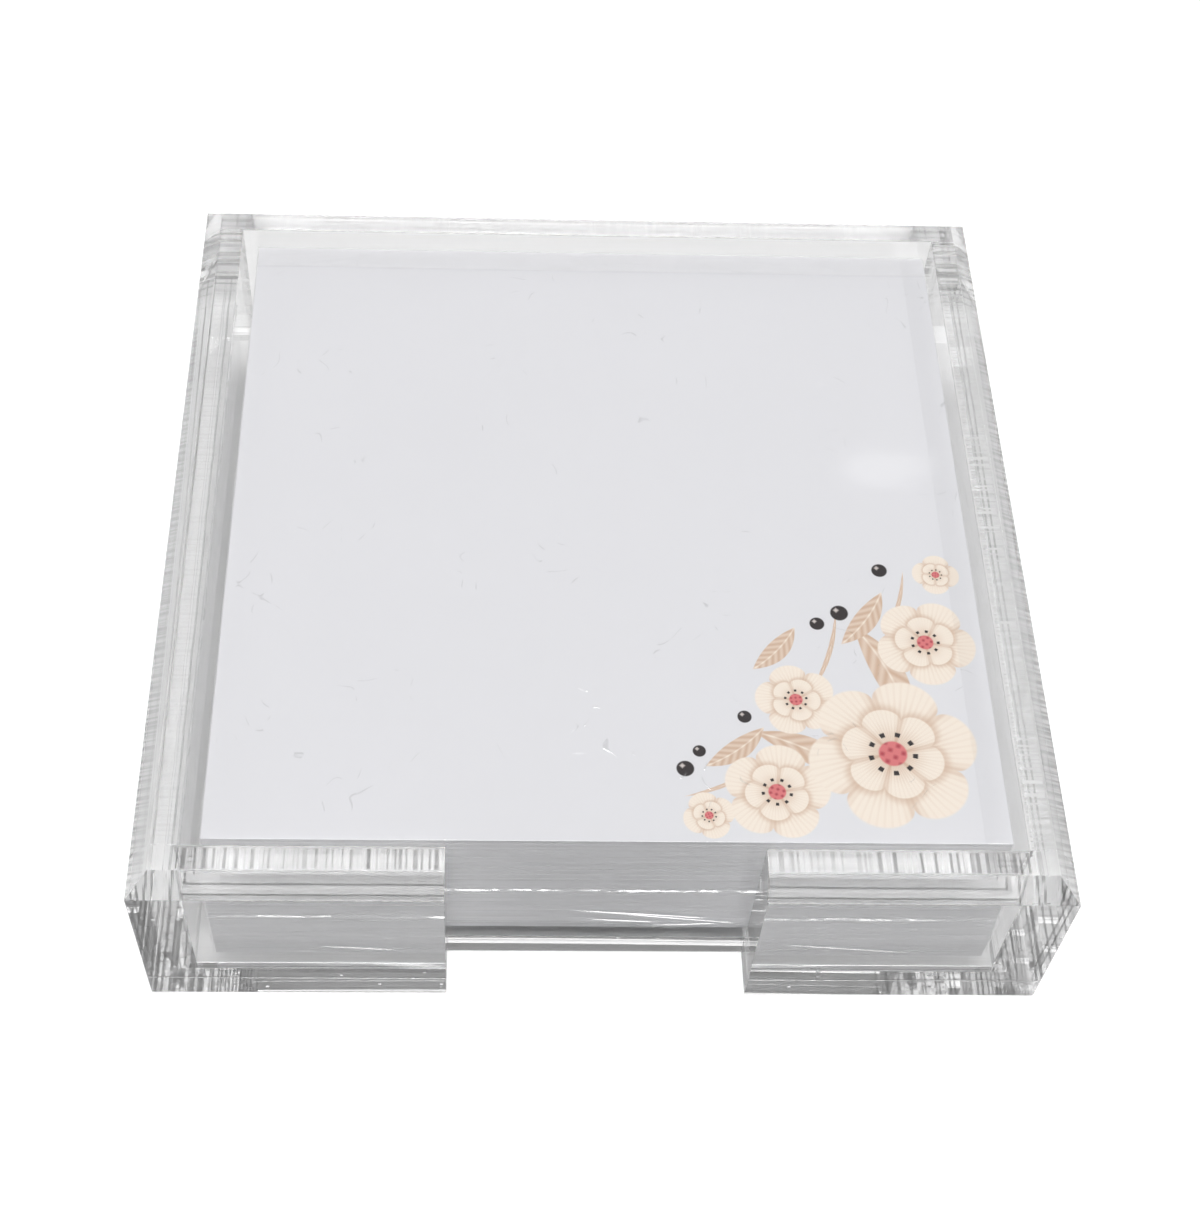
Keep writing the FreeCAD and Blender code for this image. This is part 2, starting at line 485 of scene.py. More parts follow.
    def painted_hatching(self, board: Board, place: Value) -> tuple[Value, Value]:
        """The saw marks that show on the rims' flat tops.

        Args:
            board: the material's board.
            place: the point that is shaded.

        Returns:
            How white and how dark the tops are hatched, most at the front and on the right.
        """
        x, y, z = board.axes(place)
        size = self.sizes
        along = self.along(x, y)
        front = y < -size.inner_y
        off = abs(self.outward(x, y) - self.hatch_middle)
        inset = off.rise(self.hatch_half + self.hatch_fade, self.hatch_half)
        corner = (abs(x) > size.inner_x) * (abs(y) > size.inner_y)
        flat = (board.facet()[2] > self.level) * (z > size.rim - self.joint_reach)
        weight = self.hatch_everywhere + self.hatch_front * front + self.hatch_right * (x > size.inner_x)
        patchy = self.hatch_least + (1.0 - self.hatch_least) * self.hatch_patches.through(board, place)
        hatch = inset * (1.0 - corner) * flat * weight * patchy
        darker = (self.dark_everywhere + self.dark_front * front) * hatch
        return hatch * self.white_bars.along(board, along), darker * self.dark_bars.along(board, along)

    def material(self) -> bpy.types.Material:
        """Builds the material: glass-clear faces, and joints that light goes on through.

        Returns:
            The material. A dry spot is a thin gap of air: it mirrors what comes at more than the
            critical angle and lets the rest through.
        """
        material, board = new_board(self.name)
        place = board.place()
        normal, sawn = self.relief(board, place)
        white, dark = self.painted_hatching(board, place)
        solid = board.surface(
            {
                "Base Color": self.colour,
                "Roughness": sawn * self.worn.through(board, place) * self.worn_roughness,
                "IOR": self.ior,
                "Transmission Weight": 1.0,
                "Normal": normal,
            }
        )
        facing = board.facing()
        joined, dry, seams, milky = self.joints(board, place, facing)
        mirror = board.surface({"Base Color": WHITE, "Metallic": 1.0, "Roughness": 0.0})
        # one white surface for the cement and for painted highlights: the glints, the rims' white bars and
        # the corner bands
        cement = board.surface({"Base Color": self.cement_and_highlight_colour, "Roughness": 0.8})
        # near-black surface for painted shade: the seams and the rims' dark bars
        shade = board.surface({"Base Color": self.shade_colour, "Roughness": 0.6})
        shallow = facing > self.limit()
        bond = board.blend(dry * shallow, board.blend(milky, board.clear(), cement), mirror)
        joint = board.blend(self.seam_shade_paint * seams, bond, shade)
        # painted highlight and shade on the rims' tops: white bars, and dark bars
        face = board.blend(dark, board.blend(white, solid, cement), shade)
        board.finish(board.blend(joined, face, joint))
        return material


def paper(board: Board, place: Value, colour: Value, roughness: Pair, depth: float) -> Value:
    """A paper's shader, whose fine tooth roughens and bends it.

    Args:
        board: the material's board.
        place: the point that is shaded.
        colour: its colour.
        roughness: the least roughness, and how much the tooth adds.
        depth: how deep the tooth is.

    Returns:
        The shader.
    """
    tooth = board.noise(place, TOOTH_SCALE, 3.0)
    rough = roughness[0] + roughness[1] * tooth
    return board.surface({"Base Color": colour, "Roughness": rough, "Normal": board.bump(tooth, depth)})


@dataclass(frozen=True)
class MemoPaper:
    """Uncoated white paper, with each leaf's edge a shade of its own."""

    colour: Colour = (0.84, 0.84, 0.855)
    dark: Colour = (0.80, 0.80, 0.815)
    streak_scales: Axes = (8.0, 8.0, 2500.0)
    roughness: Pair = (0.75, 0.15)
    tooth_depth: float = 0.008 * MM

    def material(self) -> bpy.types.Material:
        """Builds the material: leaf by leaf streaks along Z and a fine tooth."""
        material, board = new_board("memo_paper")
        place = board.place()
        colour = board.mix(board.noise(place, 1.0, 3.0, self.streak_scales), self.dark, self.colour)
        board.finish(paper(board, place, colour, self.roughness, self.tooth_depth))
        return material


def tint(red: int, green: int, blue: int) -> tuple[float, float, float]:
    """A colour from 0 to 255 as it is seen, turned to the linear shares that shading takes."""
    seen = np.array([red, green, blue]) / 255.0
    return tuple(np.where(seen > 0.04045, ((seen + 0.055) / 1.055) ** 2.4, seen / 12.92).tolist())


CREAM = tint(240, 229, 216)
SAND = tint(203, 172, 148)
BLUSH = tint(214, 118, 120)
ROSE = tint(172, 62, 74)
INK = tint(38, 30, 32)
GLINT = tint(205, 196, 192)


@dataclass(frozen=True)
class Motif:
    """One printed shape: its middle, in millimetres in from the right and up from the front, its size
    and its turn."""

    inward: float
    up: float
    size: float
    turn: float

    def paint(self, board: Board, inward: Value, up: Value, colour: Value) -> Value:
        """Lays the shape over a colour, by its draw method in its own turned axes, where 1 is its size.

        Args:
            board: the sheet's board.
            inward: millimetres in from the sheet's right edge.
            up: millimetres up from its front edge.
            colour: what is printed so far.

        Returns:
            The colour with the shape on it.
        """
        across = (inward - self.inward) / self.size
        ahead = (up - self.up) / self.size
        cosine, sine = math.cos(self.turn), math.sin(self.turn)
        return self.draw(board, across * cosine + ahead * sine, ahead * cosine - across * sine, colour)


@dataclass(frozen=True)
class Blossom(Motif):
    """A flower with two rings of rounded petals round a stippled heart."""

    petals: int = 5

    def draw(self, board: Board, across: Value, ahead: Value, colour: Value) -> Value:
        """Draws the flower."""
        span = board.math("SQRT", across * across + ahead * ahead)
        angle = board.math("ARCTAN2", ahead, across)
        vein = board.math("SINE", angle * (11.0 * self.petals) + 5.0 * span)
        for share, phase in ((1.0, 0.0), (0.6, math.pi / 2)):
            wave = abs(board.math("SINE", angle * (self.petals / 2) + phase))
            edge = share * (0.74 + 0.26 * wave ** 0.5)
            depth = span / edge
            shade = 0.5 * wave.rise(0.55, 0.0) + 0.6 * depth.rise(0.85, 0.15) + 0.1 * vein
            petal = board.mix(shade, CREAM, SAND)
            under = board.mix(0.55 * depth.rise(1.22, 1.0), colour, SAND)
            colour = board.mix(depth.rise(1.02, 0.98), colour if share == 1.0 else under, petal)
        spots = board.math("SINE", angle * 9.0) > 0.5
        stamens = abs(span - 0.26).rise(0.04, 0.02) * spots
        colour = board.mix(stamens, colour, INK)
        stipple = board.math("SINE", 40.0 * across) * board.math("SINE", 40.0 * ahead)
        return board.mix(span.rise(0.18, 0.15), colour, board.mix(stipple, BLUSH, ROSE))


@dataclass(frozen=True)
class Leaf(Motif):
    """A lens-shaped leaf, or a stalk if it is slim, with a pale rib."""

    slim: float = 0.3

    def draw(self, board: Board, across: Value, ahead: Value, colour: Value) -> Value:
        """Draws the leaf."""
        off = abs(ahead + 0.12 * across * across) / self.slim
        inside = (1.0 - across * across - off).rise(0.0, 0.08)
        shade = 0.75 - 0.5 * off.rise(0.12, 0.0) + 0.2 * board.math("SINE", 24.0 * across + 9.0 * off)
        return board.mix(inside, colour, board.mix(shade, CREAM, SAND))


@dataclass(frozen=True)
class Berry(Motif):
    """A round near-black berry with a glint."""

    def draw(self, board: Board, across: Value, ahead: Value, colour: Value) -> Value:
        """Draws the berry."""
        span = board.math("SQRT", across * across + ahead * ahead)
        spot = abs(across - 0.3) + abs(ahead - 0.35)
        skin = board.mix(spot.rise(0.45, 0.1), INK, GLINT)
        return board.mix(span.rise(1.0, 0.85), colour, skin)


@dataclass(frozen=True)
class PrintedPaper:
    """Smooth white paper with a spray of blossoms printed in one corner."""

    corner: tuple[float, float]
    colour: Colour = (0.738, 0.738, 0.764)
    cloud_scale: float = 30.0
    cloud_shade: float = 0.975
    roughness: Pair = (0.5, 0.2)
    tooth_depth: float = 0.003 * MM
    motifs: tuple[Motif, ...] = (
        Leaf(31.0, 17.0, 11.0, 0.5, 0.24),
        Leaf(17.0, 33.0, 11.0, 1.2, 0.26),
        Leaf(44.0, 17.5, 6.5, 2.5, 0.3),
        Leaf(20.0, 44.0, 7.0, 2.2, 0.3),
        Leaf(36.0, 37.5, 6.0, 2.3, 0.32),
        Leaf(27.0, 37.0, 9.0, 1.9, 0.05),
        Leaf(46.0, 11.0, 8.0, 2.7, 0.05),
        Leaf(14.0, 47.0, 8.0, 1.9, 0.05),
        Berry(24.5, 45.5, 1.7, 0.0),
        Berry(28.6, 43.2, 1.4, 0.0),
        Berry(53.0, 13.8, 1.6, 0.0),
        Berry(50.5, 17.2, 1.2, 0.0),
        Berry(16.5, 54.8, 1.5, 0.0),
        Berry(42.5, 24.0, 1.3, 0.0),
        Blossom(49.5, 5.0, 4.4, 0.4, 4),
        Blossom(6.5, 54.0, 4.2, 0.9, 4),
        Blossom(33.5, 27.5, 7.0, 0.7, 5),
        Blossom(38.0, 9.5, 9.0, 1.1, 5),
        Blossom(10.0, 39.5, 8.8, 0.2, 5),
        Blossom(18.0, 17.0, 14.5, 0.3, 6),
    )

    def material(self) -> bpy.types.Material:
        """Builds the material: motif over motif, counted from the sheet's front right corner."""
        material, board = new_board("printed_paper")
        place = board.place()
        x, y, _ = board.axes(place)
        inward = (self.corner[0] - x) / MM
        up = (y - self.corner[1]) / MM
        cloudy = tuple(self.cloud_shade * part for part in self.colour)
        colour = board.mix(board.noise(place, self.cloud_scale), cloudy, self.colour)
        for motif in self.motifs:
            colour = motif.paint(board, inward, up, colour)
        board.finish(paper(board, place, colour, self.roughness, self.tooth_depth))
        return material


@dataclass(frozen=True)
class ShrinkFilm:
    """Clear shrink film: it lets everything through but for the shine of its surface."""

    weld: float
    front: float
    back: float
    right: float
    roughness: float = 0.04
    square_on: float = 0.025
    at_slant: float = 0.92
    slant_power: float = 5.0
    # painted shade: shine added on a strip along the right edge greys the sheet there
    right_strip_shine: float = 0.06
    right_strip_width: float = 4.6 * MM
    grain_scale: float = 240.0
    grain_share: float = 0.12
    hair_depth: float = 0.05 * MM
    hair_shine: float = 0.22
    hair_scale: float = 210.0
    hair_line: Pair = (0.014, 0.002)
    hair_patches: Grain = Grain(75.0, 0.0, 0.62, 0.66, (1.0, 1.3, 0.8))
    hair_breaks: Grain = Grain(420.0, 0.0, 0.5, 0.56, (1.2, 0.9, 1.0))
    hair_level: float = 0.7
    ruffled: Pair = (4.0 * MM, -48.0 * MM)
    ruffle_reach: Pair = (26.0 * MM, 6.0 * MM)
    ruffle_more: float = 0.07
    # painted light: a whiter band along the back of the top
    painted_band_share: float = 0.2
    painted_band_edge: Pair = (5.5 * MM, 4.5 * MM)
    frost_colour: Colour = (0.97, 0.97, 0.97)
    frost_share: float = 0.5
    crumpled: Pair = (0.35, 0.94)
    weld_line: Pair = (0.26 * MM, 0.1 * MM)
    weld_sway: float = 0.9 * MM
    weld_breaks: Grain = Grain(330.0, 2.0, 0.3, 0.6)
    ragged_scale: float = 900.0
    ragged_stretch: Axes = (0.6, 0.6, 1.0)
    pull_line: Pair = (0.22 * MM, 0.06 * MM)
    pull_rise: float = 0.3
    pull_fall: float = 2.0
    pulls: tuple[tuple[float, float, float, float], ...] = (
        (-6.0, 19.0, 12.6, 0.1),
        (2.0, 24.0, 11.6, 0.15),
        (-2.0, 10.0, 9.4, 0.06),
        (9.0, 21.0, 7.6, -0.04),
        (30.0, 52.0, 10.5, 0.12),
        (-48.0, -34.0, 9.0, 0.08),
    )

    def hairs(self, board: Board, place: Value) -> tuple[Value, Value]:
        """Short fine creases.

        Args:
            board: the film's board.
            place: the point that is shaded.

        Returns:
            1 on the creases: contour lines of one noise, kept where two others are high, and kept
            more often in the ruffled patch near the front; and how far a point is in that patch.
        """
        x, y, _ = board.axes(place)
        away = board.math("SQRT", (x - self.ruffled[0]) ** 2.0 + (y - self.ruffled[1]) ** 2.0)
        patch = away.rise(*self.ruffle_reach)
        line = abs(board.noise(place, self.hair_scale, 0.0) - 0.5).rise(*self.hair_line)
        kept = self.hair_patches.through(board, place, self.ruffle_more * patch)
        short = self.hair_breaks.through(board, place)
        return line * kept * short * (board.facet()[2] > self.hair_level), patch

    def frost(self, board: Board, place: Value) -> tuple[Value, Value]:
        """Where the film is drawn white.

        Args:
            board: the film's board.
            place: the point that is shaded.

        Returns:
            1 on the ragged weld and along the pulls, most of which slant down to the right, low on the
            front; and how much whiter the top is along the back, a band of painted light.
        """
        x, y, z = board.axes(place)
        ragged = board.noise(place, self.ragged_scale, 2.0, self.ragged_stretch)
        weld = abs(z - self.weld + self.weld_sway * (ragged - 0.5)).rise(*self.weld_line)
        white = weld * self.weld_breaks.through(board, place) * (y < self.back)
        for start, end, level, slope in self.pulls:
            off = abs(z - level * MM + slope * (x - start * MM))
            full = start + self.pull_rise * (end - start)
            kept = x.rise(start * MM, full * MM) * x.rise(end * MM, (end - self.pull_fall) * MM)
            white = white.either(off.rise(*self.pull_line) * kept * (y < self.front))
        painted_back_band = self.painted_band_share * y.rise(*(self.back - edge for edge in self.painted_band_edge))
        return white, painted_back_band * (z > self.weld)

    def material(self) -> bpy.types.Material:
        """Builds the material: clear, with a reflection that grows at a slant and on its creases.

        Returns:
            The material.
        """
        material, board = new_board("shrink_film")
        place = board.place()
        hairs, patch = self.hairs(board, place)
        grain = board.noise(place, self.grain_scale)
        normal = board.bump(self.grain_share * grain + patch * hairs, self.hair_depth)
        gloss = {"Base Color": WHITE, "Metallic": 1.0, "Roughness": self.roughness, "Normal": normal}
        # painted light along the back: a whiter surface over the sheet
        painted_band_surface = board.surface({"Base Color": self.frost_colour, "Roughness": 0.3})
        tilted = board.upward(*self.crumpled)
        crumple = {"Base Color": self.frost_colour, "Metallic": 1.0, "Roughness": 0.35, "Normal": tilted}
        # painted shade along the right edge
        right_strip = board.axes(place)[0] > self.right - self.right_strip_width
        slant = self.square_on + self.at_slant * board.facing() ** self.slant_power
        shine = slant + self.hair_shine * hairs + self.right_strip_shine * right_strip
        film = board.blend(shine, board.clear(), board.surface(gloss))
        white, painted_back_band = self.frost(board, place)
        drawn = board.surface(crumple)
        board.finish(board.blend(self.frost_share * white, board.blend(painted_back_band, film, painted_band_surface), drawn))
        return material


def grid_faces(rows: int, columns: int) -> np.ndarray:
    """Corner numbers of the quads of a grid of points, row by row, counted round each quad."""
    number = np.arange(rows * columns).reshape(rows, columns)
    corners = [number[:-1, :-1], number[:-1, 1:], number[1:, 1:], number[1:, :-1]]
    return np.stack(corners, -1).reshape(-1, 4)


def rim_numbers(rows: int, columns: int) -> np.ndarray:
    """Numbers of a grid's outer points, in order round it, the same way as its quads."""
    number = np.arange(rows * columns).reshape(rows, columns)
    return np.concatenate([number[0, :-1], number[:-1, -1], number[-1, :0:-1], number[:0:-1, 0]])


def slab_surface(top: np.ndarray, bottom: np.ndarray) -> tuple[np.ndarray, np.ndarray]:
    """Closed slabs between upper and lower grids, with walls from rim to rim.

    Args:
        top: points of the upper grids, slabs by rows by columns by 3.
        bottom: points of the lower grids, alike.

    Returns:
        All points, and the corner numbers of all quads.
    """
    count, rows, columns, _ = top.shape
    cells = rows * columns
    points = np.stack([top.reshape(count, cells, 3), bottom.reshape(count, cells, 3)], 1).reshape(-1, 3)
    upper = grid_faces(rows, columns)
    rim = rim_numbers(rows, columns)
    ahead = np.roll(rim, -1)
    wall = np.stack([rim + cells, ahead + cells, ahead, rim], -1)
    one = np.concatenate([upper, upper[:, ::-1] + cells, wall])
    faces = (one[None] + (np.arange(count) * 2 * cells)[:, None, None]).reshape(-1, 4)
    return points, faces


def add_mesh(name: str, points: np.ndarray, faces: np.ndarray, smooth: bool) -> bpy.types.Object:
    """Puts points and quads into a new object at the origin.

    Args:
        name: the object's name.
        points: rows of x, y and z in metres.
        faces: rows of four corner numbers.
        smooth: whether its shading runs over the edges between faces.

    Returns:
        The object, linked to the scene.
    """
    mesh = bpy.data.meshes.new(name)
    mesh.vertices.add(len(points))
    mesh.vertices.foreach_set("co", points.astype(np.float32).ravel())
    mesh.loops.add(faces.size)
    mesh.loops.foreach_set("vertex_index", faces.astype(np.int32).ravel())
    mesh.polygons.add(len(faces))
    mesh.polygons.foreach_set("loop_start", np.arange(0, faces.size, 4, dtype=np.int32))
    mesh.polygons.foreach_set("use_smooth", np.full(len(faces), smooth))
    mesh.update(calc_edges=True)
    mesh.validate()
    piece = bpy.data.objects.new(name, mesh)
    bpy.context.scene.collection.objects.link(piece)
    return piece


def seat(piece: bpy.types.Object, material: bpy.types.Material, node: str) -> None:
    """Dresses a piece and sets it in the place of a node of the pad.

    Args:
        piece: the new piece.
        material: its finish.
        node: the node that it stands for.
    """
    piece.data.materials.append(material)
    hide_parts(node)
    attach(piece, Body.PAD.value)
    LOG.info("%s stands for %s, %d faces", piece.name, node, len(piece.data.polygons))


@dataclass
class Tray:
    """The six bonded slabs, which keep the shape that they are packed with."""

    shows: dict[str, Joint] = field(
        default_factory=lambda: {
            "base_plate": Joint.FOOT,
            "back_wall": Joint.ENDS,
            "left_wall": Joint.NONE,
            "right_wall": Joint.NONE,
            "front_left_wall": Joint.ENDS,
            "front_right_wall": Joint.ENDS,
        }
    )
    sizes: TraySizes = field(default_factory=TraySizes.from_frame)

    def dress(self) -> None:
        """Gives every slab its acrylic, which differs at the joints between them."""
        finishes = {}
        for joint in Joint:
            acrylic = ClearAcrylic("acrylic_" + joint.name.lower(), self.sizes, joint)
            finishes[joint] = acrylic.material()
        for name, joint in self.shows.items():
            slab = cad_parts[name]
            slab.data.materials.clear()
            slab.data.materials.append(finishes[joint])
            LOG.info("%s dressed", name)


@dataclass(frozen=True)
class Lean:
    """How the pad leans: its lower leaves have slid a little towards the front."""

    foot: float
    head: float
    reach: float = 1.0 * MM

    @classmethod
    def from_frame(cls) -> "Lean":
        """Reads the pad's lowest and highest levels."""
        return cls(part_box("sheet_stack")[0].z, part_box("top_sheet")[1].z)

    def forward(self, level: np.ndarray) -> np.ndarray:
        """How far forward the points of a level have slid: not at the head, and most at the foot."""
        return self.reach * (self.head - level) / (self.head - self.foot)


@dataclass
class SheetStack:
    """The plain memo sheets, leaf upon leaf, none quite in line with the next."""

    leaf: float = 0.1 * MM
    parting: float = 0.008 * MM
    stray: float = 0.06 * MM
    drift: float = 0.05 * MM

    def build(self) -> None:
        """Makes every leaf as a thin slab, moved a little off the one below."""
        low, high = (np.array(corner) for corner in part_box("sheet_stack"))
        count = round((high[2] - low[2]) / self.leaf)
        random = np.random.default_rng(SEED)
        stray = random.uniform(-1.0, 1.0, (count, 2)) * self.stray
        phase = np.linspace(0.0, 9.0, count)
        stray += np.stack([np.sin(phase), np.cos(1.3 * phase)], -1) * self.drift
        margin = self.stray + self.drift
        sides = np.array([[low[0] + margin, high[0] - margin], [low[1] + margin, high[1] - margin]])
        x, y = np.meshgrid(sides[0], sides[1])
        foot = low[2] + np.arange(count) * self.leaf
        stray[:, 1] -= Lean.from_frame().forward(foot)
        plan = np.stack([x, y], -1)[None] + stray[:, None, None, :]
        level = np.broadcast_to(foot[:, None, None, None], (count, 2, 2, 1))
        bottom = np.concatenate([plan, level], -1)
        top = np.concatenate([plan, level + self.leaf - self.parting], -1)
        piece = add_mesh("memo_leaves", *slab_surface(top, bottom), smooth=False)
        seat(piece, MemoPaper().material(), "sheet_stack")


@dataclass
class TopSheet:
    """The printed sheet that lies on the stack."""

    cells: int = 24
    margin: float = 0.02 * MM

    def build(self) -> None:
        """Makes the sheet as a thin slab."""
        low, high = (np.array(corner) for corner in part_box("top_sheet"))
        x, y = np.meshgrid(
            np.linspace(low[0] + self.margin, high[0] - self.margin, self.cells + 1),
            np.linspace(low[1] + self.margin, high[1] - self.margin, self.cells + 1),
        )
        top = np.stack([x, y, np.full_like(x, high[2])], -1)
        bottom = np.stack([x, y, np.full_like(x, low[2])], -1)
        piece = add_mesh("printed_sheet", *slab_surface(top[None], bottom[None]), smooth=False)
        seat(piece, PrintedPaper((float(high[0]), float(low[1]))).material(), "top_sheet")


def ridges(along: np.ndarray, up: np.ndarray, rows: np.ndarray) -> np.ndarray:
    """Heights of small ridges, each a bell across its bent line that fades towards the line's ends.

    Args:
        along: first coordinate of every point, in millimetres.
        up: second coordinate, alike.
        rows: a ridge a row: middle along and up, turn, half length, half width and height.

    Returns:
        The summed heights at every point, in millimetres.
    """
    middle, level, turn, length, width, height = rows.T[:, :, None]
    ahead = along.ravel() - middle
    aside = up.ravel() - level
    line = ahead * np.cos(turn) + aside * np.sin(turn)
    off = aside * np.cos(turn) - ahead * np.sin(turn) - 0.12 * line**2 / length
    bell = height * np.exp(-((off / width) ** 2)) * np.clip(1.0 - (line / length) ** 2, 0.0, None)
    return bell.sum(0).reshape(along.shape)


@dataclass
class FilmWrap:
    """The shrink film drawn tight round the stack, welded along a line round its front and sides."""

    cells: int = 156
    skin: float = 0.2 * MM
    lift: float = 0.03 * MM
    fold: float = 0.25 * MM
    hem: float = 0.1 * MM
    weld_share: float = 0.46
    weld_reach: float = 0.3 * MM
    weld_half: float = 0.2 * MM
    weld_sway: float = 0.12 * MM
    sway_half: float = 0.6 * MM
    calm_edge: float = 1.5 * MM

    def weld_level(self, foot: float, head: float) -> float:
        """The height of the weld between the film's lowest level and its top."""
        return foot + self.weld_share * (head - foot)

    def top_creases(self, random: np.random.Generator) -> np.ndarray:
        """Rows of ridges for the top: streaks at the back, ruffles at the front, strays anywhere."""
        streaks = random.uniform([-55, 55, -0.1, 5, 0.8, 0.03], [50, 64, 0.1, 14, 1.4, 0.09], (14, 6))
        ruffles = random.uniform([-20, -64, -0.6, 2, 0.8, 0.04], [22, -34, 0.6, 6, 1.2, 0.14], (22, 6))
        strays = random.uniform([-62, -62, -3.1, 2, 0.8, 0.02], [62, 62, 3.1, 9, 1.6, 0.07], (40, 6))
        swells = random.uniform([-60, -60, -3.1, 30, 9, 0.02], [60, 60, 3.1, 70, 18, 0.06], (12, 6))
        return np.concatenate([streaks, ruffles, strays, swells])

    def side_creases(self, random: np.random.Generator) -> np.ndarray:
        """Rows of ridges for a side: slanting pulls low on its right, and a few lying ones elsewhere."""
        pulls = random.uniform([-8, 7, -0.45, 4, 0.6, 0.03], [48, 17, -0.12, 11, 1.1, 0.12], (16, 6))
        lying = random.uniform([-62, 8, -0.2, 3, 0.6, 0.03], [62, 33, 0.2, 10, 1.2, 0.12], (22, 6))
        return np.concatenate([pulls, lying])

    def profile(self, foot: float, head: float) -> tuple[np.ndarray, np.ndarray]:
        """How far out and how high each ring of the sides is, from the top fold to the bottom fold."""
        turn = np.linspace(0.0, math.pi / 2, 6)[1:]
        weld = self.weld_level(foot, head)
        near = weld + self.weld_half * np.array([-2.0, -1.0, -0.5, 0.0, 0.5, 1.0, 2.0])
        even = np.linspace(foot + self.fold, head - self.fold, 34)[1:-1]
        even = even[abs(even - weld) > 2.5 * self.weld_half]
        straight = np.sort(np.concatenate([even, near]))[::-1]
        out = np.concatenate([np.sin(turn), np.ones(len(straight)), np.sin(turn)[::-1]])
        level = np.concatenate(
            [
                head - self.fold * (1.0 - np.cos(turn)),
                straight,
                foot + self.fold * (1.0 - np.cos(turn))[::-1],
            ]
        )
        return self.fold * out, level

    def spread(self, start: float, end: float) -> np.ndarray:
        """Places of the top's rows: even, but for a narrow one at each end that keeps the fold crisp."""
        even = np.linspace(start + self.hem, end - self.hem, self.cells - 1)
        return np.concatenate([[start], even, [end]])

    def rings(self, rim: np.ndarray, middle: np.ndarray, foot: float, head: float) -> np.ndarray:
        """The sides, ring below ring.

        Args:
            rim: the top's outer points in plan, in order round it.
            middle: the middle of the plan.
            foot: the film's lowest level.
            head: its top level.

        Returns:
            Points, rings by rim points by 3: each rim point moved outward along the profile, by the
            creases, and by the weld, a bell across its level whose reach is ragged along the rim.
        """
        random = np.random.default_rng(SEED + 1)
        out, level = self.profile(foot, head)
        place = rim - middle
        outward = np.sign(place) * np.isclose(abs(place), abs(place).max(0))
        weld = self.weld_level(foot, head)
        welded = np.where(outward[:, 1] > 0.5, 0.0, 1.0)
        ragged = welded * random.uniform(0.25, 1.0, len(rim))
        sway = self.weld_sway * np.convolve(random.normal(size=len(rim)), np.ones(9) / 3.0, "same")
        high = level[:, None] + sway * np.exp(-(((level[:, None] - weld) / self.sway_half) ** 2))
        bead = self.weld_reach * ragged * np.exp(-(((level[:, None] - weld) / self.weld_half) ** 2))
        along = np.where(abs(outward[:, 1]) > 0.5, place[:, 0], place[:, 1]) / MM
        grid = np.broadcast_to(along, high.shape)
        crease = MM * ridges(grid, high / MM, self.side_creases(random))
        reach = out[:, None] + bead + crease * (out[:, None] >= self.fold * 0.99)
        plan = rim[None] + outward[None] * reach[..., None]
        return np.concatenate([plan, high[..., None]], -1)

    def build(self) -> None:
        """Makes the film as one closed skin: a creased top, ringed sides and a flat bottom."""
        low, high = (np.array(corner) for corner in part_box("top_sheet"))
        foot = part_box("shrink_wrap")[0].z + self.lift
        head = high[2] + self.skin
        inset = self.fold - self.skin
        x, y = np.meshgrid(
            self.spread(low[0] + inset, high[0] - inset),
            self.spread(low[1] + inset, high[1] - inset),
        )
        edge = np.minimum(np.minimum(x - x.min(), x.max() - x), np.minimum(y - y.min(), y.max() - y))
        calm = np.clip(edge / self.calm_edge, 0.0, 1.0)
        crease = MM * ridges(x / MM, y / MM, self.top_creases(np.random.default_rng(SEED)))
        top = np.stack([x, y, head + calm * crease], -1).reshape(-1, 3)
        bottom = np.stack([x, y, np.full_like(x, foot)], -1).reshape(-1, 3)
        rim = rim_numbers(self.cells + 1, self.cells + 1)
        middle = (low[:2] + high[:2]) / 2
        rings = self.rings(top[rim, :2], middle, foot, head)
        count = len(top)
        points = np.concatenate([top, bottom, rings.reshape(-1, 3)])
        points[:, 1] -= Lean.from_frame().forward(points[:, 2])
        inner = 2 * count + np.arange(rings.shape[0] * len(rim)).reshape(rings.shape[0], len(rim))
        ladder = np.concatenate([rim[None], inner, rim[None] + count])
        ahead = np.roll(ladder, -1, axis=1)
        sides = np.stack([ladder[1:], ahead[1:], ahead[:-1], ladder[:-1]], -1).reshape(-1, 4)
        upper = grid_faces(self.cells + 1, self.cells + 1)
        faces = np.concatenate([upper, upper[:, ::-1] + count, sides])
        piece = add_mesh("film_wrap", points, faces, smooth=True)
        weld = float(self.weld_level(foot, head))
        film = ShrinkFilm(weld, float(low[1]), float(high[1]), float(high[0]))
        seat(piece, film.material(), "shrink_wrap")


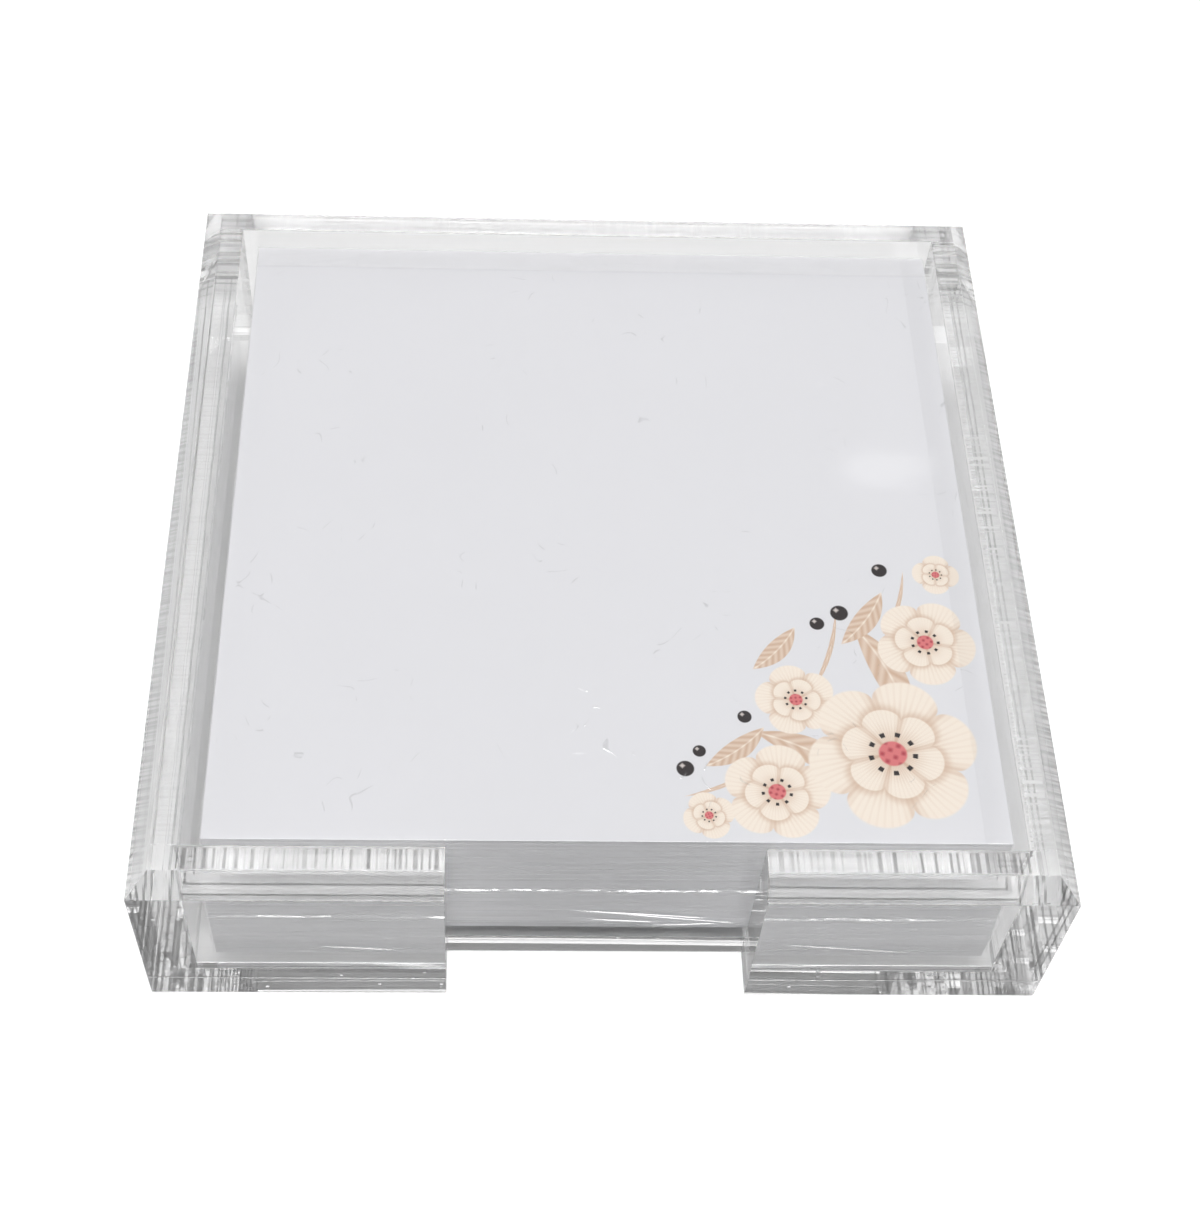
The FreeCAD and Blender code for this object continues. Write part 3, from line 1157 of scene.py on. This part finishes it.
@dataclass(frozen=True)
class Sky:
    """The light of the surround by direction: strengths, and the slopes over which each sets in."""

    everywhere: float = 0.24
    low_edge: Pair = (0.46, 0.34)
    low_front: float = 0.15
    low_side: float = 0.7
    low_side_edge: Pair = (-0.6, 0.2)
    low_back: float = 0.7
    low_back_edge: Pair = (0.1, 0.8)
    cap: float = 5.3
    cap_edge: Pair = (0.921, 0.945)
    high: float = 0.4
    high_edge: Pair = (0.78, 0.84)
    high_back_edge: Pair = (0.2, 0.35)
    high_left_edge: Pair = (-0.13, -0.15)
    high_right_edge: Pair = (0.24, 0.26)
    pane: float = 2.6
    pane_across: float = 0.192
    pane_height: float = math.radians(51.1)
    pane_half: Pair = (0.02, 0.009)
    pane_edge: Pair = (2.0, 0.2)

    def strength(self, board: Board) -> Value:
        """How bright each direction is.

        Args:
            board: the world's board.

        Returns:
            The strength: a cap overhead, a low ring that is dim towards the viewer, two patches high
            behind that light the front corners, and a small pane that the film mirrors.
        """
        x, y, z = board.axes(board.place("Generated"))
        side = self.low_side * y.rise(*self.low_side_edge)
        ring = self.low_front + side + self.low_back * y.rise(*self.low_back_edge)
        aside = (x - self.pane_across) / self.pane_half[0]
        above = (math.cos(self.pane_height) * z - math.sin(self.pane_height) * y) / self.pane_half[1]
        pane = (aside * aside + above * above).rise(*self.pane_edge) * (y > 0.0)
        beside = x.rise(*self.high_left_edge).either(x.rise(*self.high_right_edge))
        high = z.rise(*self.high_edge) * y.rise(*self.high_back_edge) * beside
        even = self.everywhere + ring * z.rise(*self.low_edge)
        return even + self.cap * z.rise(*self.cap_edge) + self.pane * pane + self.high * high


@dataclass
class Studio:
    """A pale floor, a white surround that gives the light, and the camera of the photograph's view."""

    sky: Sky = Sky()
    floor_side: float = 6.0
    floor_drop: float = 0.25 * MM
    floor_colour: Colour = (0.65, 0.65, 0.65)
    floor_lift: float = 0.46
    tray_half: float = 76.5 * MM
    notch_half: float = 26.0 * MM
    gap_front: Pair = (-70.0 * MM, -67.0 * MM)
    gap_back: Pair = (-58.0 * MM, -62.0 * MM)
    side_edge: Pair = (70.0 * MM, 72.0 * MM)
    back_edge: Pair = (60.0 * MM, 70.0 * MM)
    stripe: Pair = (78.7 * MM, 2.5 * MM)
    glow: float = 0.02
    glow_gap: float = 0.16
    glow_side: float = 0.06
    glow_behind: float = 0.1
    glow_back: float = 0.12
    glow_stripe: float = 0.32
    eye: Axes = (-19.844 * MM, -222.869 * MM, 327.453 * MM)
    azimuth: float = math.radians(3.5611)
    elevation: float = math.radians(55.0292)
    roll: float = math.radians(3.5495)
    lens: float = 60.8035
    shift: float = 0.035

    def add_floor(self) -> None:
        """Lays the floor just under the tray: white to the eye, shaded by the tray, and aglow in strips
        near the walls where it is seen through the acrylic."""
        half = self.floor_side / 2
        x, y = np.meshgrid(np.linspace(-half, half, 3), np.linspace(-half, half, 3))
        points = np.stack([x, y, np.full_like(x, -self.floor_drop)], -1).reshape(-1, 3)
        floor = add_mesh("floor", points, grid_faces(3, 3), smooth=False)
        material, board = new_board("floor")
        seen = board.add("ShaderNodeLightPath", output="Is Camera Ray")
        through = board.add("ShaderNodeLightPath", output="Is Transmission Ray")
        aside, ahead, _ = board.axes(board.place())
        gap = (abs(aside) > self.notch_half) * ahead.rise(*self.gap_front) * ahead.rise(*self.gap_back)
        beside = abs(aside).rise(*self.side_edge) * (abs(aside) < self.tray_half)
        under = self.glow_back * (ahead < self.tray_half)
        behind = self.glow_behind + under + self.glow_stripe * ahead.near(*self.stripe)
        near = self.glow + self.glow_gap * gap + self.glow_side * beside
        glow = near + behind * ahead.rise(*self.back_edge)
        lit = board.mix(through * glow, BLACK, WHITE)
        shader = board.surface(
            {
                "Base Color": self.floor_colour,
                "Roughness": 1.0,
                "Specular IOR Level": 0.0,
                "Emission Color": board.mix(seen, lit, (self.floor_lift,) * 3),
                "Emission Strength": 1.0,
            }
        )
        board.finish(shader)
        floor.data.materials.append(material)

    def add_world(self) -> None:
        """Surrounds the scene with the sky, which is all the light that there is but for the floor's."""
        world = bpy.data.worlds.new("studio")
        world.use_nodes = True
        bpy.context.scene.world = world
        board = Board(world.node_tree)
        inputs = {"Color": WHITE, "Strength": self.sky.strength(board)}
        board.finish(board.add("ShaderNodeBackground", {}, inputs), "World")

    def add_camera(self) -> None:
        """Sets the camera where the photograph was taken from."""
        data = bpy.data.cameras.new("camera")
        data.sensor_width = 36.0
        data.lens = self.lens
        data.shift_x = self.shift
        data.clip_start = 0.01
        holder = bpy.data.objects.new("camera", data)
        turn = (
            Matrix.Rotation(-self.azimuth, 4, "Z")
            @ Matrix.Rotation(math.pi / 2 - self.elevation, 4, "X")
            @ Matrix.Rotation(self.roll, 4, "Z")
        )
        holder.matrix_world = Matrix.Translation(self.eye) @ turn
        bpy.context.scene.collection.objects.link(holder)
        bpy.context.scene.camera = holder

    def build(self) -> None:
        """Sets up the floor, the surround, the camera and how light is followed."""
        self.add_floor()
        self.add_world()
        self.add_camera()
        scene = bpy.context.scene
        scene.view_settings.view_transform = "Standard"
        scene.cycles.max_bounces = 40
        scene.cycles.transmission_bounces = 40
        scene.cycles.glossy_bounces = 40
        scene.cycles.diffuse_bounces = 5
        scene.cycles.transparent_max_bounces = 64
        scene.cycles.sample_clamp_indirect = 6.0
        scene.cycles.blur_glossy = 0.0


def main() -> None:
    """Builds the pieces and the studio."""
    logging.basicConfig(level=logging.INFO, format="%(message)s")
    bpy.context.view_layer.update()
    Tray().dress()
    SheetStack().build()
    TopSheet().build()
    FilmWrap().build()
    Studio().build()


if __name__ == "__main__":
    main()
